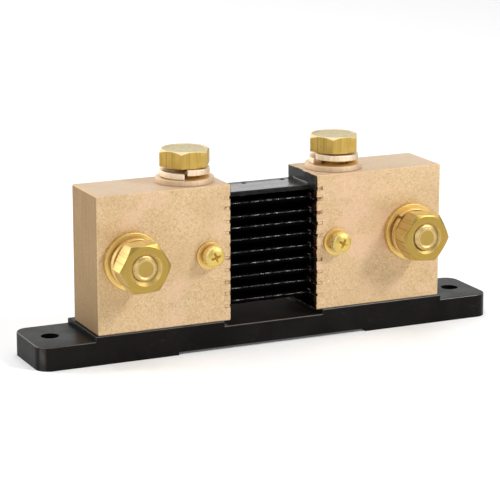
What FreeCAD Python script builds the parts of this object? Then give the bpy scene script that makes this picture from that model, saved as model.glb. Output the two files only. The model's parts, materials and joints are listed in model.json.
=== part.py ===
import FreeCAD, Part
import os

import Sketcher

# A current shunt for a battery monitor. Two brass terminal blocks stand on a moulded base and are
# bridged by ten resistance blades. Each block has an M10 terminal bolt with its nut in front, an M10
# terminal bolt in its top and a small sense screw.
#
# Frame, in millimetres: X runs along the base, Y from the nuts (front) to the back, Z up. The origin
# lies on the underside of the feet, midway between the two mounting holes.

PARTS_FOLDER = "parts"

# The driving dimensions: alias, value, meaning.
DIMENSIONS = [
    ("base_length", 180.0, "moulded base, along X"),
    ("base_depth", 28.5, "moulded base, along Y"),
    ("base_top", 8.7, "top of the base's ends and middle"),
    ("pad_top", 10.5, "top of the raised pads under the blocks"),
    ("pad_inner", 19.7, "inner edge of a pad, from the middle"),
    ("pad_outer", 69.0, "outer edge of a pad, from the middle"),
    ("foot_inner", 37.5, "inner edge of a foot, from the middle"),
    ("foot_rise", 1.1, "height of the underside between the feet"),
    ("base_corner", 5.0, "radius of the base's corners in plan"),
    ("base_edge", 0.5, "rounding of the base's upper edges"),
    ("mount_hole_x", 81.0, "mounting hole, from the middle"),
    ("mount_hole_radius", 3.25, "mounting hole"),
    ("block_gap", 34.0, "clear gap between the blocks"),
    ("block_width", 51.0, "block, along X"),
    ("block_depth", 24.0, "block, along Y"),
    ("block_height", 50.0, "block, along Z"),
    ("block_y", -2.0, "mid-depth of the blocks"),
    ("block_edge", 0.35, "broken edges of a block"),
    ("hole_edge", 0.4, "broken edges of a block's holes"),
    ("slot_depth", 2.5, "saw cut that holds a blade's end"),
    ("slot_height", 1.3, "saw cut, along Z"),
    ("blade_thickness", 1.2, "blade, along Z"),
    ("blade_depth", 15.0, "blade, along Y"),
    ("blade_first_top", 56.3, "top of the uppermost blade"),
    ("blade_pitch", 4.42, "step from blade to blade"),
    ("blade_hole_radius", 0.9, "calibration hole in the uppermost blade"),
    ("blade_hole_y", 5.5, "calibration hole, behind the blade's middle"),
    ("blade_hole_left_x", -4.0, "left calibration hole"),
    ("blade_hole_right_x", 11.6, "right calibration hole"),
    ("hex_flats", 17.0, "M10 hexagon across its flats"),
    ("hex_bevel_radius", 8.3, "flat round face of a bevelled hexagon"),
    ("cutter_margin", 1.0, "how far a bevel cutter reaches past a hexagon's corners"),
    ("head_height", 6.4, "M10 bolt head"),
    ("head_face_height", 0.4, "round face under a bolt head"),
    ("nut_height", 8.0, "M10 nut"),
    ("bolt_radius", 5.0, "M10 shank, over the threads"),
    ("bolt_end_bevel", 1.4, "bevel on a shank's end"),
    ("thread_gap", 0.05, "radial clearance of a turning thread"),
    ("through_gap", 0.5, "radial clearance of a terminal bolt in its block"),
    ("nut_mouth", 0.9, "countersink in a nut's ends"),
    ("terminal_bolt_length", 40.0, "M10 bolt through a block, under its head"),
    ("terminal_inset", 12.7, "terminal bolt, from the block's outer face"),
    ("terminal_z", 36.5, "height of the terminal bolts"),
    ("top_bolt_length", 25.0, "M10 bolt in a block's top, under its head"),
    ("top_bolt_inset", 12.7, "top bolt, from the block's inner face"),
    ("top_hole_depth", 20.5, "tapped hole in a block's top"),
    ("washer_radius", 10.5, "M10 flat washer"),
    ("washer_bore", 5.25, "M10 flat washer's hole"),
    ("washer_thickness", 2.0, "M10 flat washer"),
    ("washer_edge", 0.25, "rolled edge of a flat washer"),
    ("small_washer_edge", 0.1, "rolled edge of a small flat washer"),
    ("spring_radius", 9.05, "M10 spring washer"),
    ("spring_bore", 5.2, "M10 spring washer's hole"),
    ("spring_section", 2.2, "height of the spring washer's wire"),
    ("left_terminal_spring_height", 3.9, "spring washer under the left nut, partly flattened"),
    ("right_terminal_spring_height", 3.4, "spring washer under the right nut, partly flattened"),
    ("left_top_spring_height", 3.6, "spring washer under the left top bolt, partly flattened"),
    ("right_top_spring_height", 4.1, "spring washer under the right top bolt, partly flattened"),
    ("spring_turns", 0.965, "turns of a spring washer's wire"),
    ("face_gap", 0.05, "axial clearance on each side of a spring washer"),
    ("sense_inset", 8.2, "sense screw, from the block's inner face"),
    ("sense_z", 35.7, "height of the sense screws"),
    ("sense_radius", 2.0, "M4 shank, over the threads"),
    ("sense_length", 10.0, "M4 screw, under its head"),
    ("sense_hole_depth", 8.5, "tapped hole for a sense screw"),
    ("sense_head_radius", 3.9, "M4 pan head"),
    ("sense_head_height", 2.9, "M4 pan head"),
    ("sense_head_round", 1.8, "rounding of the pan head's rim"),
    ("sense_end_bevel", 0.4, "bevel on the M4 screw's end"),
    ("recess_reach", 2.3, "half width of the cross recess"),
    ("recess_floor_reach", 1.1, "half width of the cross recess at its floor"),
    ("recess_slot", 0.55, "half thickness of the cross recess's wings"),
    ("recess_floor_slot", 0.4, "half thickness of the wings at the floor"),
    ("recess_depth", 1.9, "cross recess"),
    ("sense_washer_radius", 5.0, "flat washer of a sense screw"),
    ("sense_washer_bore", 2.65, "its loose hole"),
    ("sense_washer_thickness", 1.0, "flat washer of a sense screw"),
    ("sense_washer_drop", 0.3, "how far that washer hangs below its screw's axis"),
    ("sense_washer_shift", 0.4, "how far that washer sits left of its screw's axis"),
    ("sense_spring_radius", 3.6, "M4 spring washer"),
    ("sense_spring_bore", 2.1, "M4 spring washer's hole"),
    ("sense_spring_section", 0.9, "height of the M4 spring washer's wire"),
    ("sense_spring_height", 1.8, "M4 spring washer, not yet flattened"),
    ("fixing_near", 28.0, "inner fixing screw, from the middle"),
    ("fixing_far", 57.0, "outer fixing screw, from the middle"),
    ("fixing_radius", 2.45, "M5 fixing screw"),
    ("fixing_length", 16.0, "M5 fixing screw, under its head"),
    ("fixing_head_radius", 4.25, "M5 fixing screw's head"),
    ("fixing_head_height", 3.2, "M5 fixing screw's head"),
    ("fixing_head_bevel", 0.3, "bevel on the M5 screw's head"),
    ("fixing_end_bevel", 0.5, "bevel on the M5 screw's end"),
    ("fixing_slot", 0.6, "half width of the screwdriver slot"),
    ("fixing_slot_depth", 1.3, "screwdriver slot"),
    ("fixing_hole_radius", 2.5, "tapped hole in a block's underside"),
    ("fixing_hole_depth", 11.5, "tapped hole in a block's underside"),
    ("fixing_clear_radius", 2.75, "hole for a fixing screw in the base"),
    ("fixing_sink_radius", 5.6, "counterbore in the base's underside"),
    ("fixing_sink_depth", 5.5, "counterbore, from the underside of the feet"),
    ("fixing_washer_radius", 5.0, "M5 flat washer"),
    ("fixing_washer_bore", 2.65, "M5 flat washer's hole"),
    ("fixing_washer_thickness", 1.0, "M5 flat washer"),
]

BLADE_COUNT = 10
# The saw cuts are slightly uneven: how far each blade sits above an even step, from the top down.
BLADE_LIFT = [0.0, 0.6, 0.0, 0.4, 0.3, 0.1, 0.1, 0.0, 0.2, 0.1]

# The angle at rest of each hexagon, screw head and spring washer's lower end, in degrees about the
# piece's own axis.
NUT_TURN = {"left": 2.6, "right": -4.7}
TOP_BOLT_TURN = {"left": -0.5, "right": -2.5}
TOP_SPRING_TURN = {"left": -113.0, "right": -170.0}
TERMINAL_SPRING_TURN = {"left": 60.0, "right": 130.0}
SENSE_SPRING_TURN = {"left": -60.0, "right": 200.0}
SENSE_TURN = {"left": 18.0, "right": -27.0}
FIXING_TURN = {"left": -35.0, "right": 35.0}

SIDES = {"left": -1, "right": 1}

# Two coordinates closer than this are the same, in millimetres.
SAME_PLACE = 1e-4

# Turns that lay a piece's own +Z axis along the frame's axes.
UPRIGHT = FreeCAD.Rotation()
UPSIDE_DOWN = FreeCAD.Rotation(FreeCAD.Vector(1, 0, 0), 180)
FACING_FRONT = FreeCAD.Rotation(FreeCAD.Vector(1, 0, 0), 90)

doc = FreeCAD.newDocument("BatteryMonitorShunt")
sheet = doc.addObject("Spreadsheet::Sheet", "Sizes")


def fill_sheet():
    for row, (alias, value, meaning) in enumerate(DIMENSIONS, start=1):
        sheet.set(f"A{row}", alias)
        sheet.set(f"B{row}", str(value))
        sheet.set(f"C{row}", meaning)
        sheet.setAlias(f"B{row}", alias)
    doc.recompute()


def size(alias):
    """The number in the cell with this alias."""
    return sheet.get(alias)


# ---------------------------------------------------------------- bodies, sketches and features


def new_body(label):
    body = doc.addObject("PartDesign::Body", label)
    body.Label = label
    return body


def place(body, x, y, z, rotation=UPRIGHT, turn=0.0):
    """Put a body at a point given as expressions, turned about its own Z axis and then laid over."""
    own_turn = FreeCAD.Rotation(FreeCAD.Vector(0, 0, 1), turn)
    body.Placement = FreeCAD.Placement(FreeCAD.Vector(), rotation * own_turn)
    body.setExpression("Placement.Base.x", x)
    body.setExpression("Placement.Base.y", y)
    body.setExpression("Placement.Base.z", z)


def sketch_on(body, name, role, offset=None):
    """A sketch on one of the body's origin planes, moved along the plane's normal by offset."""
    sketch = body.newObject("Sketcher::SketchObject", f"{body.Label}_{name}")
    plane = next(item for item in body.Origin.OriginFeatures if item.Role == role)
    sketch.AttachmentSupport = [(plane, "")]
    sketch.MapMode = "FlatFace"
    if offset:
        sketch.setExpression("AttachmentOffset.Base.z", offset)
    return sketch


def bind_point(sketch, curve, point, expressions):
    """Hold a curve's point at two coordinates that follow expressions."""
    for kind, expression in zip(("DistanceX", "DistanceY"), expressions):
        value = float(sketch.evalExpression(expression))
        index = sketch.addConstraint(Sketcher.Constraint(kind, curve, point, value))
        sketch.setExpression(f"Constraints[{index}]", expression)


def add_outline(sketch, corners):
    """A closed outline of straight edges; each corner is a pair of expressions."""
    places = [FreeCAD.Vector(*(float(sketch.evalExpression(one)) for one in pair)) for pair in corners]
    count = len(corners)
    first = sketch.GeometryCount
    for index, start in enumerate(places):
        sketch.addGeometry(Part.LineSegment(start, places[(index + 1) % count]))
    for index in range(count):
        following = first + (index + 1) % count
        sketch.addConstraint(Sketcher.Constraint("Coincident", first + index, 2, following, 1))
    for index, pair in enumerate(corners):
        bind_point(sketch, first + index, 1, pair)


def add_rectangle(sketch, low_x, high_x, low_y, high_y):
    add_outline(sketch, [(low_x, low_y), (high_x, low_y), (high_x, high_y), (low_x, high_y)])


def add_circle(sketch, x, y, radius):
    centre = FreeCAD.Vector(float(sketch.evalExpression(x)), float(sketch.evalExpression(y)))
    size = float(sketch.evalExpression(radius))
    curve = sketch.addGeometry(Part.Circle(centre, FreeCAD.Vector(0, 0, 1), size))
    bind_point(sketch, curve, 3, (x, y))
    index = sketch.addConstraint(Sketcher.Constraint("Radius", curve, size))
    sketch.setExpression(f"Constraints[{index}]", radius)


def add_hexagon(sketch):
    corner = "Sizes.hex_flats / sqrt(3)"
    angles = [60 * index for index in range(6)]
    add_outline(sketch, [(f"{corner} * cos({a} deg)", f"{corner} * sin({a} deg)") for a in angles])


def feature(body, kind, name, sketch, **settings):
    made = body.newObject(f"PartDesign::{kind}", f"{body.Label}_{name}")
    made.Profile = sketch
    for key, value in settings.items():
        if isinstance(value, str) and value.startswith("="):
            made.setExpression(key, value[1:])
        else:
            setattr(made, key, value)
    return made


def pad(body, name, sketch, length, **settings):
    return feature(body, "Pad", name, sketch, Length="=" + length, **settings)


def pocket(body, name, sketch, depth, **settings):
    """Cut a sketch's outline into the body, and make sure that the cut removed material."""
    doc.recompute()
    before = body.Shape.Volume
    made = feature(body, "Pocket", name, sketch, Length="=" + depth, **settings)
    doc.recompute()
    if body.Shape.Volume >= before:
        raise RuntimeError(f"{made.Name} cuts nothing")
    return made


def revolve(body, name, corners, kind="Revolution"):
    """Turn an outline of (radius, height) corners about the body's Z axis, to add or to cut."""
    sketch = sketch_on(body, f"{name}_outline", "XZ_Plane")
    add_outline(sketch, corners)
    return feature(body, kind, name, sketch, ReferenceAxis=(sketch, ["V_Axis"]), Angle=360.0)


def dress(body, kind, name, edges, size):
    """Fillet or Chamfer of the body's edges that pass a test."""
    doc.recompute()
    base = body.Tip
    chosen = [f"Edge{index}" for index, edge in enumerate(base.Shape.Edges, start=1) if edges(edge)]
    if not chosen:
        raise RuntimeError(f"{body.Label}: no edges for {name}")
    made = body.newObject(f"PartDesign::{kind}", f"{body.Label}_{name}")
    made.Base = (base, chosen)
    made.setExpression("Radius" if kind == "Fillet" else "Size", size)
    doc.recompute()
    return made


def level(edge, axis):
    """The single coordinate of an edge along an axis, or None where the edge leaves that plane."""
    low = getattr(edge.BoundBox, f"{axis}Min")
    high = getattr(edge.BoundBox, f"{axis}Max")
    return (low + high) / 2 if high - low < SAME_PLACE else None


def near(value, wanted):
    return value is not None and abs(value - wanted) < SAME_PLACE


def at_distance(edge, axis, distance):
    """Whether an edge lies in a plane across the axis, so far from the origin on either side."""
    return near(level(edge, axis), distance) or near(level(edge, axis), -distance)


# ---------------------------------------------------------------- base


def base_corner(edge):
    """One of the four upright edges at the base's corners."""
    return at_distance(edge, "X", size("base_length") / 2) and level(edge, "Y") is not None


def base_rim(edge):
    """An upper edge of the base or of a pad, but not the inside corner at a pad's foot."""
    pad_foot = at_distance(edge, "X", size("pad_outer")) or at_distance(edge, "X", size("pad_inner"))
    on_base = near(level(edge, "Z"), size("base_top"))
    return near(level(edge, "Z"), size("pad_top")) or (on_base and not pad_foot)


def make_base():
    body = new_body("base")
    outline = sketch_on(body, "profile", "XZ_Plane")
    right = [
        ("Sizes.foot_inner", "0"),
        ("Sizes.base_length / 2", "0"),
        ("Sizes.base_length / 2", "Sizes.base_top"),
        ("Sizes.pad_outer", "Sizes.base_top"),
        ("Sizes.pad_outer", "Sizes.pad_top"),
        ("Sizes.pad_inner", "Sizes.pad_top"),
        ("Sizes.pad_inner", "Sizes.base_top"),
    ]
    left = [(f"-{x}", z) for x, z in reversed(right)]
    middle = [("-Sizes.foot_inner", "Sizes.foot_rise"), ("Sizes.foot_inner", "Sizes.foot_rise")]
    add_outline(outline, right + left + middle)
    pad(body, "bar", outline, "Sizes.base_depth", Midplane=True)

    dress(body, "Fillet", "corners", base_corner, "Sizes.base_corner")
    dress(body, "Fillet", "rim", base_rim, "Sizes.base_edge")

    mounts = sketch_on(body, "mount_holes", "XY_Plane")
    sinks = sketch_on(body, "fixing_sinks", "XY_Plane")
    clears = sketch_on(body, "fixing_clears", "XY_Plane")
    for side in SIDES.values():
        add_circle(mounts, f"{side} * Sizes.mount_hole_x", "0", "Sizes.mount_hole_radius")
        for station in ("fixing_near", "fixing_far"):
            x = f"{side} * Sizes.{station}"
            add_circle(sinks, x, "Sizes.block_y", "Sizes.fixing_sink_radius")
            add_circle(clears, x, "Sizes.block_y", "Sizes.fixing_clear_radius")
    pocket(body, "mounts", mounts, "Sizes.pad_top", Reversed=True)
    pocket(body, "sinks", sinks, "Sizes.fixing_sink_depth", Reversed=True)
    pocket(body, "clears", clears, "Sizes.pad_top", Reversed=True)
    return body


# ---------------------------------------------------------------- blocks and blades


def blade_top(index):
    """Expression for the height of a blade's top, counted from the uppermost blade."""
    return f"(Sizes.blade_first_top - {index} * Sizes.blade_pitch + {BLADE_LIFT[index]})"


def blade_middle(index):
    return f"({blade_top(index)} - Sizes.blade_thickness / 2)"


def any_edge(edge):
    return True


def hole_mouth(edge):
    """The rim of a terminal, top or sense hole on a block's top, front or back."""
    on_top = near(level(edge, "Z"), size("block_height"))
    on_side = at_distance(edge, "Y", size("block_depth") / 2)
    return isinstance(edge.Curve, Part.Circle) and (on_top or on_side)


def make_block(side_name):
    """One terminal block; its own origin is the middle of its underside."""
    side = SIDES[side_name]
    body = new_body(f"{side_name}_block")
    outline = sketch_on(body, "plan", "XY_Plane")
    half_x = "Sizes.block_width / 2"
    half_y = "Sizes.block_depth / 2"
    add_rectangle(outline, f"-{half_x}", half_x, f"-{half_y}", half_y)
    pad(body, "bar", outline, "Sizes.block_height")
    dress(body, "Chamfer", "edges", any_edge, "Sizes.block_edge")

    # The saw cuts run through the whole depth of the block at its inner face.
    inner = f"{-side} * Sizes.block_width / 2"
    slots = sketch_on(body, "slot_ends", "XZ_Plane")
    for index in range(BLADE_COUNT):
        middle = f"{blade_middle(index)} - Sizes.pad_top"
        ends = sorted((f"{inner} {sign} Sizes.slot_depth" for sign in "+-"),
                      key=lambda one: float(slots.evalExpression(one)))
        add_rectangle(slots, ends[0], ends[1],
                      f"{middle} - Sizes.slot_height / 2", f"{middle} + Sizes.slot_height / 2")
    pocket(body, "slots", slots, "2 * Sizes.block_depth", Midplane=True)

    terminal = sketch_on(body, "terminal_circle", "XZ_Plane")
    terminal_x = f"{side} * (Sizes.block_width / 2 - Sizes.terminal_inset)"
    add_circle(terminal, terminal_x, "Sizes.terminal_z - Sizes.pad_top",
               "Sizes.bolt_radius + Sizes.through_gap")
    pocket(body, "terminal_hole", terminal, "2 * Sizes.block_depth", Midplane=True)

    top = sketch_on(body, "top_circle", "XY_Plane", "Sizes.block_height")
    top_x = f"{-side} * (Sizes.block_width / 2 - Sizes.top_bolt_inset)"
    add_circle(top, top_x, "0", "Sizes.bolt_radius + Sizes.thread_gap")
    pocket(body, "top_hole", top, "Sizes.top_hole_depth")

    sense = sketch_on(body, "sense_circle", "XZ_Plane", "Sizes.block_depth / 2")
    sense_x = f"{-side} * (Sizes.block_width / 2 - Sizes.sense_inset)"
    add_circle(sense, sense_x, "Sizes.sense_z - Sizes.pad_top",
               "Sizes.sense_radius + Sizes.thread_gap")
    pocket(body, "sense_hole", sense, "Sizes.sense_hole_depth")

    fixings = sketch_on(body, "fixing_circles", "XY_Plane")
    for station in ("fixing_near", "fixing_far"):
        add_circle(fixings, f"{side} * (Sizes.{station} - (Sizes.block_gap + Sizes.block_width) / 2)",
                   "0", "Sizes.fixing_hole_radius")
    pocket(body, "fixing_holes", fixings, "Sizes.fixing_hole_depth", Reversed=True)

    dress(body, "Chamfer", "mouths", hole_mouth, "Sizes.hole_edge")
    place(body, f"{side} * (Sizes.block_gap + Sizes.block_width) / 2", "Sizes.block_y",
          "Sizes.pad_top")
    return body


def make_blade(index):
    """One resistance blade, whose ends reach into the saw cuts of both blocks."""
    body = new_body(f"blade_{index + 1:02d}")
    outline = sketch_on(body, "plan", "XY_Plane")
    reach = "(Sizes.block_gap / 2 + Sizes.slot_depth)"
    add_rectangle(outline, f"-{reach}", reach, "-Sizes.blade_depth / 2", "Sizes.blade_depth / 2")
    if index == 0:
        for alias in ("blade_hole_left_x", "blade_hole_right_x"):
            add_circle(outline, f"Sizes.{alias}", "Sizes.blade_hole_y", "Sizes.blade_hole_radius")
    pad(body, "sheet", outline, "Sizes.blade_thickness", Midplane=True)
    place(body, "0", "Sizes.block_y", blade_middle(index))
    return body


def make_braze(side_name):
    """The filler that closes each saw cut in front of and behind its blade."""
    side = SIDES[side_name]
    pieces = []
    lengthwise = "(Sizes.block_depth - Sizes.blade_depth) / 2"
    starts = {
        "front": "Sizes.block_y - Sizes.block_depth / 2",
        "rear": "Sizes.block_y + Sizes.blade_depth / 2",
    }
    low_x = "Sizes.block_gap / 2" if side > 0 else "-Sizes.block_gap / 2 - Sizes.slot_depth"
    for index in range(BLADE_COUNT):
        for end, start in starts.items():
            piece = doc.addObject("Part::Box", f"{side_name}_braze_{end}_{index + 1:02d}")
            piece.setExpression("Length", "Sizes.slot_depth")
            piece.setExpression("Width", lengthwise)
            piece.setExpression("Height", "Sizes.slot_height")
            piece.setExpression("Placement.Base.x", low_x)
            piece.setExpression("Placement.Base.y", start)
            piece.setExpression("Placement.Base.z", f"{blade_middle(index)} - Sizes.slot_height / 2")
            pieces.append(piece)
    return group(f"{side_name}_braze", pieces)


def group(label, pieces):
    """Several separate solids that share one node."""
    made = doc.addObject("Part::Compound", label)
    made.Label = label
    made.Links = pieces
    return made


# ---------------------------------------------------------------- bolts, nuts and washers


def bevel_hexagon(body, name, face, towards):
    """Cut a 30 degree bevel round a hexagon's end face at height face; towards is +1 when the
    hexagon lies above that face and -1 when it lies below."""
    reach = "(Sizes.hex_flats / sqrt(3) + Sizes.cutter_margin)"
    fall = f"{towards} * ({reach} - Sizes.hex_bevel_radius) * tan(30 deg)"
    revolve(body, name, [
        ("Sizes.hex_bevel_radius", face),
        (reach, face),
        (reach, f"{face} + {fall}"),
    ], kind="Groove")


def make_hex_bolt(label, length):
    """An M10 hexagon bolt: its shank runs along +Z from the underside of its head."""
    body = new_body(label)
    head = sketch_on(body, "hexagon", "XY_Plane", "-Sizes.head_height")
    add_hexagon(head)
    pad(body, "head", head, "Sizes.head_height - Sizes.head_face_height")
    bevel_hexagon(body, "head_bevel", "-Sizes.head_height", 1)
    revolve(body, "shank", [
        ("0", "-Sizes.head_face_height"),
        ("Sizes.hex_bevel_radius", "-Sizes.head_face_height"),
        ("Sizes.hex_bevel_radius", "0"),
        ("Sizes.bolt_radius", "0"),
        ("Sizes.bolt_radius", f"Sizes.{length} - Sizes.bolt_end_bevel"),
        ("Sizes.bolt_radius - Sizes.bolt_end_bevel", f"Sizes.{length}"),
        ("0", f"Sizes.{length}"),
    ])
    return body


def make_nut(label):
    """An M10 nut, bevelled on both faces; its rear face lies on its own XY plane."""
    body = new_body(label)
    hexagon = sketch_on(body, "hexagon", "XY_Plane")
    add_hexagon(hexagon)
    add_circle(hexagon, "0", "0", "Sizes.bolt_radius + Sizes.thread_gap")
    pad(body, "prism", hexagon, "Sizes.nut_height")
    bevel_hexagon(body, "front_bevel", "Sizes.nut_height", -1)
    bevel_hexagon(body, "rear_bevel", "0", 1)
    bore = "Sizes.bolt_radius + Sizes.thread_gap"
    inside = "Sizes.bolt_radius / 2"
    for name, face, sign in (("front_mouth", "Sizes.nut_height", "-"), ("rear_mouth", "0", "+")):
        revolve(body, name, [
            (inside, face),
            (f"{bore} + Sizes.nut_mouth", face),
            (bore, f"{face} {sign} Sizes.nut_mouth"),
            (inside, f"{face} {sign} Sizes.nut_mouth"),
        ], kind="Groove")
    return body


def make_flat_washer(label, stem, edge):
    """A flat washer with a rolled edge; stem names its cells, such as washer or sense_washer, and
    edge the cell with the size of its rolled edge."""
    body = new_body(label)
    outer = f"Sizes.{stem}_radius"
    bore = f"Sizes.{stem}_bore"
    thickness = f"Sizes.{stem}_thickness"
    revolve(body, "ring", [
        (bore, "0"),
        (outer, "0"),
        (outer, f"{thickness} - Sizes.{edge}"),
        (f"{outer} - Sizes.{edge}", thickness),
        (bore, thickness),
    ])
    return body


def make_spring_washer(label, stem, height):
    """A split spring washer: square-cornered wire wound left-handed through just under one turn.
    Stem names its cells, such as spring or sense_spring, and height the cell with its height."""
    body = new_body(label)
    section = sketch_on(body, "section", "XZ_Plane")
    add_rectangle(section, f"Sizes.{stem}_bore", f"Sizes.{stem}_radius", "0", f"Sizes.{stem}_section")
    coil = body.newObject("PartDesign::AdditiveHelix", f"{label}_coil")
    coil.Profile = section
    coil.ReferenceAxis = (section, ["V_Axis"])
    coil.Mode = "pitch-turns-angle"
    coil.LeftHanded = True
    coil.setExpression("Pitch", f"(Sizes.{height} - Sizes.{stem}_section) / Sizes.spring_turns")
    coil.setExpression("Turns", "Sizes.spring_turns")
    return body


def sense_head_rim(edge):
    return near(level(edge, "Z"), size("sense_head_height"))


def make_sense_screw(label):
    """An M4 pan head screw with a cross recess: its shank runs along -Z from under its head."""
    body = new_body(label)
    revolve(body, "screw", [
        ("0", "-Sizes.sense_length"),
        ("Sizes.sense_radius - Sizes.sense_end_bevel", "-Sizes.sense_length"),
        ("Sizes.sense_radius", "-Sizes.sense_length + Sizes.sense_end_bevel"),
        ("Sizes.sense_radius", "0"),
        ("Sizes.sense_head_radius", "0"),
        ("Sizes.sense_head_radius", "Sizes.sense_head_height"),
        ("0", "Sizes.sense_head_height"),
    ])
    dress(body, "Fillet", "dome", sense_head_rim, "Sizes.sense_head_round")
    sections = []
    levels = (
        ("mouth", "Sizes.sense_head_height", "Sizes.recess_reach", "Sizes.recess_slot"),
        ("floor", "Sizes.sense_head_height - Sizes.recess_depth", "Sizes.recess_floor_reach",
         "Sizes.recess_floor_slot"),
    )
    for name, height, reach, slot in levels:
        cross = sketch_on(body, f"recess_{name}", "XY_Plane", height)
        quarter = [(reach, slot), (slot, slot), (slot, reach)]
        corners = []
        for x_sign, y_sign in (("", ""), ("-", ""), ("-", "-"), ("", "-")):
            points = [(x_sign + x, y_sign + y) for x, y in quarter]
            corners += points if x_sign == y_sign else reversed(points)
        add_outline(cross, corners)
        sections.append(cross)
    doc.recompute()
    before = body.Shape.Volume
    recess = body.newObject("PartDesign::SubtractiveLoft", f"{label}_recess")
    recess.Profile = sections[0]
    recess.Sections = sections[1:]
    recess.Ruled = True
    doc.recompute()
    if body.Shape.Volume >= before:
        raise RuntimeError(f"{label}: the recess cuts nothing")
    return body


# ---------------------------------------------------------------- hardware at its places


def terminal_x(side):
    return f"{side} * (Sizes.block_gap / 2 + Sizes.block_width - Sizes.terminal_inset)"


def front(distance):
    """Expression for the Y of a point so far ahead of the blocks' front faces."""
    return f"Sizes.block_y - Sizes.block_depth / 2 - ({distance})"


def make_terminal(side_name):
    """The bolt through a block with a washer under its head, and the flat washer, spring washer
    and nut on its front end."""
    x = terminal_x(SIDES[side_name])
    seat = "Sizes.block_y + Sizes.block_depth / 2 + Sizes.washer_thickness"
    rear_washer = make_flat_washer(f"{side_name}_terminal_rear_washer", "washer", "washer_edge")
    place(rear_washer, x, seat, "Sizes.terminal_z", FACING_FRONT)
    bolt = make_hex_bolt(f"{side_name}_terminal_bolt", "terminal_bolt_length")
    place(bolt, x, seat, "Sizes.terminal_z", FACING_FRONT)

    washer = make_flat_washer(f"{side_name}_terminal_flat_washer", "washer", "washer_edge")
    place(washer, x, front("0"), "Sizes.terminal_z", FACING_FRONT)

    height = f"{side_name}_terminal_spring_height"
    spring = make_spring_washer(f"{side_name}_terminal_spring_washer", "spring", height)
    place(spring, x, front("Sizes.washer_thickness + Sizes.face_gap"), "Sizes.terminal_z",
          FACING_FRONT, TERMINAL_SPRING_TURN[side_name])

    nut = make_nut(f"{side_name}_terminal_nut")
    stack = f"Sizes.washer_thickness + Sizes.{height} + 2 * Sizes.face_gap"
    place(nut, x, front(stack), "Sizes.terminal_z", FACING_FRONT, NUT_TURN[side_name])
    return [rear_washer, bolt, washer, spring, nut]


def make_top_terminal(side_name):
    """The bolt in a block's top, with its flat and spring washers."""
    x = f"{SIDES[side_name]} * (Sizes.block_gap / 2 + Sizes.top_bolt_inset)"
    block_top = "Sizes.pad_top + Sizes.block_height"
    washer = make_flat_washer(f"{side_name}_top_flat_washer", "washer", "washer_edge")
    place(washer, x, "Sizes.block_y", block_top)

    height = f"{side_name}_top_spring_height"
    spring = make_spring_washer(f"{side_name}_top_spring_washer", "spring", height)
    place(spring, x, "Sizes.block_y", f"{block_top} + Sizes.washer_thickness + Sizes.face_gap",
          UPRIGHT, TOP_SPRING_TURN[side_name])

    bolt = make_hex_bolt(f"{side_name}_top_bolt", "top_bolt_length")
    place(bolt, x, "Sizes.block_y",
          f"{block_top} + Sizes.washer_thickness + Sizes.{height} + 2 * Sizes.face_gap",
          UPSIDE_DOWN, TOP_BOLT_TURN[side_name])
    return [washer, spring, bolt]


def make_sense_terminal(side_name):
    """The small screw that holds a sense lead, with its loose flat washer and its spring washer."""
    x = f"{SIDES[side_name]} * (Sizes.block_gap / 2 + Sizes.sense_inset)"
    washer = make_flat_washer(f"{side_name}_sense_washer", "sense_washer", "small_washer_edge")
    place(washer, f"{x} - Sizes.sense_washer_shift", front("0"),
          "Sizes.sense_z - Sizes.sense_washer_drop", FACING_FRONT)

    spring = make_spring_washer(f"{side_name}_sense_spring_washer", "sense_spring", "sense_spring_height")
    place(spring, x, front("Sizes.sense_washer_thickness + Sizes.face_gap"), "Sizes.sense_z",
          FACING_FRONT, SENSE_SPRING_TURN[side_name])

    screw = make_sense_screw(f"{side_name}_sense_screw")
    stack = "Sizes.sense_washer_thickness + Sizes.sense_spring_height + 2 * Sizes.face_gap"
    place(screw, x, front(stack), "Sizes.sense_z", FACING_FRONT, SENSE_TURN[side_name])
    return [washer, spring, screw]


def make_fixing_screw(label):
    """A slotted cheese head M5 screw: its shank runs along +Z from under its head."""
    body = new_body(label)
    revolve(body, "screw", [
        ("0", "-Sizes.fixing_head_height"),
        ("Sizes.fixing_head_radius - Sizes.fixing_head_bevel", "-Sizes.fixing_head_height"),
        ("Sizes.fixing_head_radius", "-Sizes.fixing_head_height + Sizes.fixing_head_bevel"),
        ("Sizes.fixing_head_radius", "0"),
        ("Sizes.fixing_radius", "0"),
        ("Sizes.fixing_radius", "Sizes.fixing_length - Sizes.fixing_end_bevel"),
        ("Sizes.fixing_radius - Sizes.fixing_end_bevel", "Sizes.fixing_length"),
        ("0", "Sizes.fixing_length"),
    ])
    slot = sketch_on(body, "slot_plan", "XY_Plane", "-Sizes.fixing_head_height")
    add_rectangle(slot, "-2 * Sizes.fixing_head_radius", "2 * Sizes.fixing_head_radius",
                  "-Sizes.fixing_slot", "Sizes.fixing_slot")
    pocket(body, "slot", slot, "Sizes.fixing_slot_depth", Reversed=True)
    return body


def make_fixings():
    """The four screws and washers under the base that hold the blocks down."""
    screws = []
    washers = []
    washer_z = "Sizes.fixing_sink_depth - Sizes.fixing_washer_thickness"
    for side_name, side in SIDES.items():
        for station in ("near", "far"):
            x = f"{side} * Sizes.fixing_{station}"
            label = f"{side_name}_{station}_fixing"
            screw = make_fixing_screw(f"{label}_screw")
            place(screw, x, "Sizes.block_y", washer_z, UPRIGHT, FIXING_TURN[side_name])
            screws.append(screw)
            washer = make_flat_washer(f"{label}_washer", "fixing_washer", "small_washer_edge")
            place(washer, x, "Sizes.block_y", washer_z)
            washers.append(washer)
    return [group("base_fixing_screws", screws), group("base_fixing_washers", washers)]


# ---------------------------------------------------------------- check and export


def check_document():
    doc.recompute()
    for item in doc.Objects:
        if any(word in item.State for word in ("Invalid", "Error")):
            raise RuntimeError(f"{item.Name} failed: {item.State}")


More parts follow.
